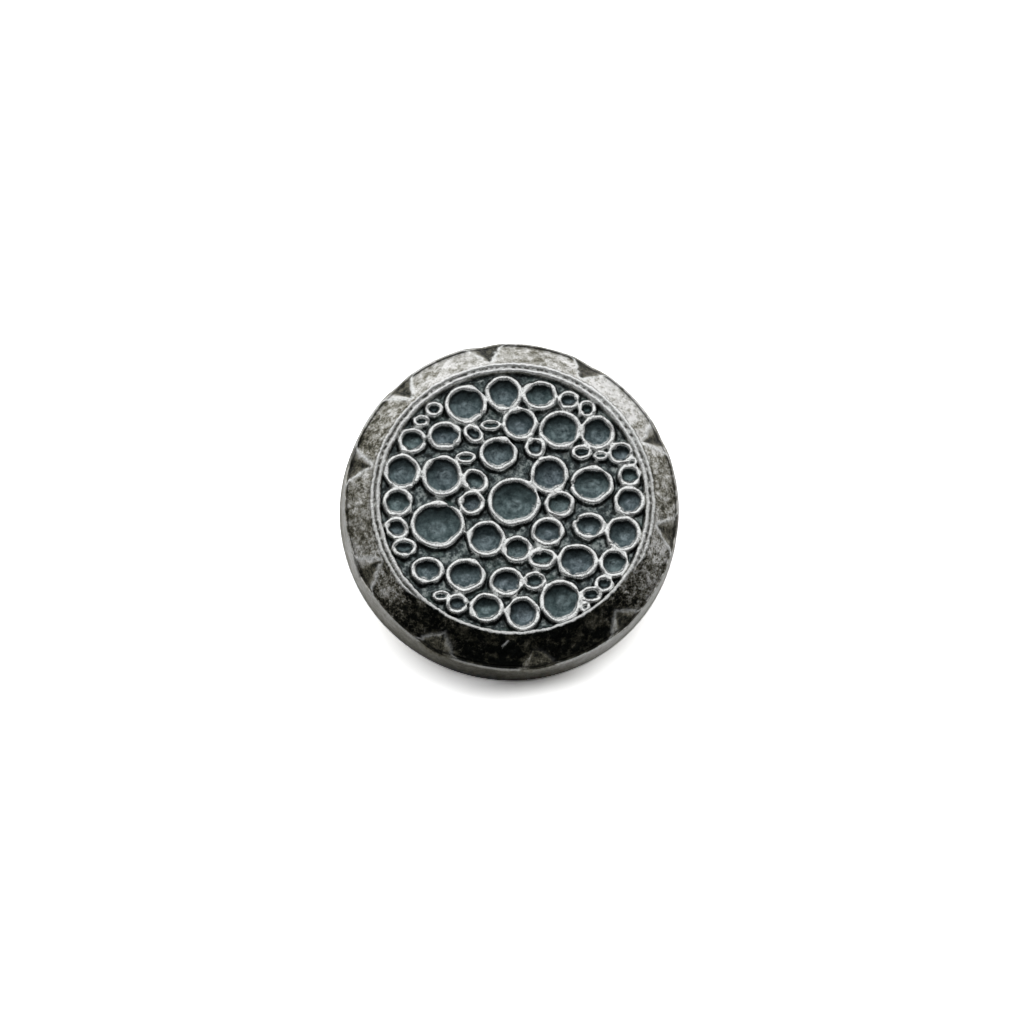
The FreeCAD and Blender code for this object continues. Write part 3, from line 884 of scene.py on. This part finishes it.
def maths(tree, operation, *values):
    """One sum of numbers or other nodes' values."""
    made = tree.nodes.new("ShaderNodeMath")
    made.operation = operation
    for socket, value in zip(made.inputs, values):
        if isinstance(value, (int, float)):
            socket.default_value = value
        else:
            tree.links.new(value, socket)
    return made.outputs[0]


def blend(tree, factor, first, second):
    """The second colour over the first by a factor."""
    made = tree.nodes.new("ShaderNodeMix")
    made.data_type = "RGBA"
    for socket, value in ((made.inputs["Factor"], factor), (made.inputs[6], first), (made.inputs[7], second)):
        if isinstance(value, tuple):
            socket.default_value = (*value, 1)
        else:
            tree.links.new(value, socket)
    return made.outputs[2]


def mottled(tree, level, *noises):
    """A level with the noises about their middle added, each with its own strength."""
    total = level
    for strength, value in noises:
        total = maths(tree, "MULTIPLY_ADD", maths(tree, "SUBTRACT", value, 0.5), strength, total)
    return total


# From black patina to bright silver: the level, of wear and of painted light and shade, and the colour.
WEAR_COLOURS = [
    (0.04, (0.0045, 0.006, 0.0048)),
    (0.17, (0.032, 0.033, 0.022)),
    (0.38, (0.15, 0.142, 0.105)),
    (0.6, (0.36, 0.352, 0.308)),
    (0.8, (0.64, 0.635, 0.605)),
    (1.0, (0.94, 0.935, 0.92)),
]
# The field, by the grain: its floor with greenish patches, and its bowls and the painted reflections on their
# discs, of which some are bluer.
FLOOR_COLOURS = [(0.38, (0.018, 0.022, 0.022)), (0.5, (0.068, 0.087, 0.09)), (0.62, (0.33, 0.37, 0.36))]
FLOOR_GREEN = (0.06, 0.105, 0.09)
GREEN_PATCHES = [(0.55, 0.0), (0.7, 0.6)]
GREEN_BOWL = [(0.34, (0.028, 0.047, 0.049)), (0.66, (0.1, 0.142, 0.145))]
BLUE_BOWL = [(0.34, (0.028, 0.043, 0.05)), (0.66, (0.105, 0.14, 0.152))]
GREEN_DISC_SHEEN = [(0.34, (0.036, 0.056, 0.059)), (0.66, (0.26, 0.33, 0.34))]
BLUE_DISC_SHEEN = [(0.34, (0.037, 0.053, 0.061)), (0.66, (0.268, 0.32, 0.355))]
# Painted shade under the bowls' upper edges; black of patina in the grooves, with painted shade at the beads'
# lower feet.
CRESCENT_SHADE_BLACK, CREVICE_AND_SHADE_BLACK = (0.006, 0.008, 0.008), (0.006, 0.006, 0.005)
# The worn crests of the beads and the lip, by the fine grain, also used for their painted highlights.
POLISHED = (0.96, 0.975, 0.965)
BEAD_COLOURS = [(0.34, (0.38, 0.39, 0.38)), (0.5, POLISHED)]
LIP_COLOURS = [(0.32, (0.6, 0.61, 0.6)), (0.5, POLISHED)]
ROUGHNESS = [(0.3, 0.42), (0.7, 0.26)]
METALLIC = 0.9
# How much of each mask shows: the painted reflection on the discs, the painted shade under the bowls' edges,
# and the patina with painted shade in the crevices
DISC_SHEEN_STRENGTH, CRESCENT_SHADE_STRENGTH, CREVICE_AND_SHADE_STRENGTH = 0.9, 0.35, 0.9
LOW_SHADE_AND_PATINA = 0.26  # how much darker the side is at its foot, partly patina and partly painted shade near the floor
COARSE_BUMP, FINE_BUMP = (0.6, 0.0001), (0.3, 0.00003)  # strength, and depth in metres


def rim_colour(tree, cloud, patches, grain, fine):
    """The colour of the bevel and the side band, and of the notches over them: wear and patina, with painted
    light and shade by direction.
    """
    tone = mask_of(tree, "tone")
    calm = mottled(tree, tone, (0.6, cloud), (1.3, patches), (1.1, grain), (0.5, fine))
    speckled = mottled(tree, tone, (1.5, cloud), (3.0, grain), (1.9, fine))
    calm, speckled = ramp(tree, calm, WEAR_COLOURS), ramp(tree, speckled, WEAR_COLOURS)
    bevel = blend(tree, mask_of(tree, "rough"), calm, speckled)
    band = maths(tree, "MULTIPLY_ADD", mask_of(tree, "low"), -LOW_SHADE_AND_PATINA, tone)
    band = ramp(tree, mottled(tree, band, (0.5, cloud), (0.5, grain), (0.3, fine)), WEAR_COLOURS)
    notch = mottled(tree, mask_of(tree, "notch_wear_and_shade"), (0.5, cloud), (1.2, grain), (0.9, fine))
    colour = blend(tree, mask_of(tree, "band"), bevel, band)
    return blend(tree, mask_of(tree, "notch"), colour, ramp(tree, notch, WEAR_COLOURS))


def tinted(tree, grain, green, blue):
    """A colour of the bowls, greener in some rings and bluer in others."""
    return blend(tree, mask_of(tree, "tint"), ramp(tree, grain, green), ramp(tree, grain, blue))


def field_colour(tree, colour, cloud, grain):
    """The carved field over a colour: its floor, its bowls and the painted reflections on the discs in them.
    """
    greenish = ramp(tree, cloud, GREEN_PATCHES)
    floor = blend(tree, greenish, ramp(tree, grain, FLOOR_COLOURS), FLOOR_GREEN)
    colour = blend(tree, mask_of(tree, "field"), colour, floor)
    colour = blend(tree, mask_of(tree, "bowl"), colour, tinted(tree, grain, GREEN_BOWL, BLUE_BOWL))
    # The discs' lighter colour is a painted reflection.
    disc_share = maths(tree, "MULTIPLY_ADD", mask_of(tree, "small"), -DISC_SHEEN_STRENGTH, DISC_SHEEN_STRENGTH)
    disc_share = maths(tree, "MULTIPLY", mask_of(tree, "disc_sheen"), disc_share)
    return blend(tree, disc_share, colour, tinted(tree, grain, GREEN_DISC_SHEEN, BLUE_DISC_SHEEN))


def bumps(tree, grain, fine):
    """The normal of the surface: coarse bumps off the field and fine ones all over."""
    off_field = maths(tree, "SUBTRACT", 1.0, mask_of(tree, "field"))
    coarse_bump = node(tree, "ShaderNodeBump", Strength=COARSE_BUMP[0], Distance=COARSE_BUMP[1])
    tree.links.new(maths(tree, "MULTIPLY", grain, off_field), coarse_bump.inputs["Height"])
    fine_bump = node(tree, "ShaderNodeBump", Strength=FINE_BUMP[0], Distance=FINE_BUMP[1])
    tree.links.new(fine, fine_bump.inputs["Height"])
    tree.links.new(coarse_bump.outputs["Normal"], fine_bump.inputs["Normal"])
    return fine_bump.outputs["Normal"]


def antique_silver():
    """Worn silver over dark patina: bright on the crests, blue-grey in the bowls, mottled on the bevel, with
    painted highlights, painted reflections in the bowls and painted shade laid into the colour.
    """
    material, tree, shader = new_material("antique_silver")
    where = tree.nodes.new("ShaderNodeTexCoord").outputs["Object"]
    scaled = node(tree, "ShaderNodeMapping", Scale=(1 / MM, 1 / MM, 1 / MM))
    tree.links.new(where, scaled.inputs["Vector"])
    place_mm = scaled.outputs["Vector"]
    cloud = noise_of(tree, place_mm, 1.1, 4, 0.65)
    patches = noise_of(tree, place_mm, 2.0, 2, 0.5)
    grain = noise_of(tree, place_mm, 3.6, 5, 0.7)
    fine = noise_of(tree, place_mm, 12, 3, 0.7)

    colour = rim_colour(tree, cloud, patches, grain, fine)
    colour = field_colour(tree, colour, cloud, grain)
    # Painted shade under the upper edge of each bowl.
    crescent = maths(tree, "MULTIPLY", mask_of(tree, "crescent"), CRESCENT_SHADE_STRENGTH)
    colour = blend(tree, crescent, colour, CRESCENT_SHADE_BLACK)
    # Patina in the grooves, with painted shade at the beads' lower feet.
    crevice_and_shade = maths(tree, "MULTIPLY", mask_of(tree, "crevice_and_shade"), CREVICE_AND_SHADE_STRENGTH)
    colour = blend(tree, crevice_and_shade, colour, CREVICE_AND_SHADE_BLACK)
    # Worn silver on the crests and the lip, with their painted highlights.
    bead_colour, lip_colour = ramp(tree, fine, BEAD_COLOURS), ramp(tree, fine, LIP_COLOURS)
    worn_and_lit_colour = blend(tree, mask_of(tree, "field"), lip_colour, bead_colour)
    colour = blend(tree, mask_of(tree, "worn"), colour, worn_and_lit_colour)
    tree.links.new(colour, shader.inputs["Base Color"])
    tree.links.new(ramp(tree, grain, ROUGHNESS), shader.inputs["Roughness"])
    tree.links.new(bumps(tree, grain, fine), shader.inputs["Normal"])
    shader.inputs["Metallic"].default_value = METALLIC
    return material


FLOOR_SIZE = 1.2  # metres
FLOOR_GREY = 0.8
FLOOR_GAIN = 3.2  # how many times over the camera counts the light that falls on the floor
# The dark card in front of the button
CARD_RADIUS, CARD_LOW, CARD_HIGH = 15.0, 0.4, 5.0
CARD_FROM, CARD_TO = 212.0, 338.0
CARD_STEPS = 24


def white_floor():
    """A pale floor that shows as white round the object, but keeps its shadow where little light falls."""
    half = FLOOR_SIZE / 2
    corners = [(-half, -half, 0), (half, -half, 0), (half, half, 0), (-half, half, 0)]
    floor = new_object("floor", corners, [(0, 1, 2, 3)])
    material, tree, shader = new_material("floor_white")
    rays = tree.nodes.new("ShaderNodeLightPath")
    seen = maths(tree, "MULTIPLY_ADD", rays.outputs["Is Camera Ray"], FLOOR_GAIN - FLOOR_GREY, FLOOR_GREY)
    tree.links.new(seen, shader.inputs["Base Color"])
    shader.inputs["Roughness"].default_value = 0.9
    shader.inputs["Specular IOR Level"].default_value = 0.0
    floor.data.materials.append(material)


def dark_card():
    """A low curved card in front, seen by reflections only, that keeps the lower bevel dark."""
    points = []
    for index in range(CARD_STEPS + 1):
        angle = math.radians(CARD_FROM + (CARD_TO - CARD_FROM) * index / CARD_STEPS)
        across, deep = CARD_RADIUS * MM * math.cos(angle), CARD_RADIUS * MM * math.sin(angle)
        points += [(across, deep, CARD_LOW * MM), (across, deep, CARD_HIGH * MM)]
    faces = [(first, first + 2, first + 3, first + 1) for first in range(0, CARD_STEPS * 2, 2)]
    card = new_object("dark_card", points, faces)
    material, _, shader = new_material("card_black")
    shader.inputs["Base Color"].default_value = (0.01, 0.01, 0.01, 1)
    shader.inputs["Specular IOR Level"].default_value = 0.0
    card.data.materials.append(material)
    card.visible_camera = False
    card.visible_diffuse = False
    card.visible_shadow = False


# The tent's brightness from front to back, and towards its sides.
TENT_DEPTH = [(0.3, 0.04), (0.42, 0.28), (0.5, 0.68), (0.56, 1.0), (0.66, 1.05), (1.0, 1.12)]
TENT_SIDES = [(0.6, 1.0), (0.95, 0.28)]
TENT_TOP_SHARE = 0.35  # how much what is above counts as being behind
TENT_RIGHT_SHARE = 0.75  # under 1, so that more light comes from the right than from the left


def light_tent():
    """A tent of soft light: bright behind and above, dimmer at the sides and dark towards the front."""
    world = bpy.data.worlds.new("tent")
    bpy.context.scene.world = world
    world.use_nodes = True
    tree = world.node_tree
    background = tree.nodes["Background"]
    direction = tree.nodes.new("ShaderNodeTexCoord").outputs["Generated"]
    parts = tree.nodes.new("ShaderNodeSeparateXYZ")
    tree.links.new(direction, parts.inputs[0])
    across, deep, high = (parts.outputs[name] for name in "XYZ")
    back = maths(tree, "ADD", deep, maths(tree, "MULTIPLY", high, TENT_TOP_SHARE))
    back = maths(tree, "ADD", maths(tree, "MULTIPLY", back, 0.5), 0.5)
    right, left = maths(tree, "MULTIPLY", across, TENT_RIGHT_SHARE), maths(tree, "MULTIPLY", across, -1.0)
    aside = maths(tree, "MAXIMUM", right, left)
    glow = maths(tree, "MULTIPLY", ramp(tree, back, TENT_DEPTH), ramp(tree, aside, TENT_SIDES))
    rays = tree.nodes.new("ShaderNodeLightPath")
    seen = blend(tree, rays.outputs["Is Camera Ray"], glow, (1.0, 1.0, 1.0))
    tree.links.new(seen, background.inputs["Color"])
    background.inputs["Strength"].default_value = 1.0


# The photograph's view: the face leans 14 degrees off the line of sight, towards 17 degrees right of up.
FACE_LEAN = math.radians(14)
LEAN_TURN = math.radians(17)
PIXELS_PER_MM = 22.8
IMAGE_SIZE = 1024
LIP_CENTRE_PIXEL = (513.0, 500.7)
CAMERA_DISTANCE = 300.0  # millimetres
SENSOR_WIDTH = 36.0
CLIP_START = 0.01


def make_camera():
    """Look at the button as the photograph does, with the lip's centre at its own place in the picture."""
    lean_aside = math.sin(FACE_LEAN) * math.sin(LEAN_TURN)
    lean_up = math.sin(FACE_LEAN) * math.cos(LEAN_TURN)
    azimuth = -math.asin(lean_aside / math.sin(REST_TILT))
    near = math.sin(REST_TILT) * math.cos(azimuth)
    elevation = math.atan2(
        math.cos(REST_TILT) * math.cos(FACE_LEAN) - near * lean_up,
        near * math.cos(FACE_LEAN) + math.cos(REST_TILT) * lean_up,
    )
    level = math.cos(elevation)
    towards = Vector((math.sin(azimuth) * level, -math.cos(azimuth) * level, math.sin(elevation)))
    right = Vector((math.cos(azimuth), math.sin(azimuth), 0))
    up = towards.cross(right)
    lip = place() @ Vector((0, 0, BODY_THICKNESS))
    off_right = (LIP_CENTRE_PIXEL[0] - IMAGE_SIZE / 2) / PIXELS_PER_MM * MM
    off_up = (IMAGE_SIZE / 2 - LIP_CENTRE_PIXEL[1]) / PIXELS_PER_MM * MM
    aim = lip - right * off_right - up * off_up
    data = bpy.data.cameras.new("camera")
    data.sensor_width = SENSOR_WIDTH
    data.lens = PIXELS_PER_MM * SENSOR_WIDTH * CAMERA_DISTANCE / IMAGE_SIZE
    data.clip_start = CLIP_START
    camera = bpy.data.objects.new("camera", data)
    turned = Matrix((right, up, towards)).transposed().to_4x4()
    camera.matrix_world = Matrix.Translation(aim + towards * CAMERA_DISTANCE * MM) @ turned
    bpy.context.collection.objects.link(camera)
    bpy.context.scene.camera = camera


def main():
    """The dressed button on its stage."""
    button = make_button()
    button.data.materials.clear()
    button.data.materials.append(antique_silver())
    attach(button, "root")
    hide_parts(NODE)
    white_floor()
    dark_card()
    light_tent()
    make_camera()
    bpy.context.scene.view_settings.view_transform = "Standard"


main()
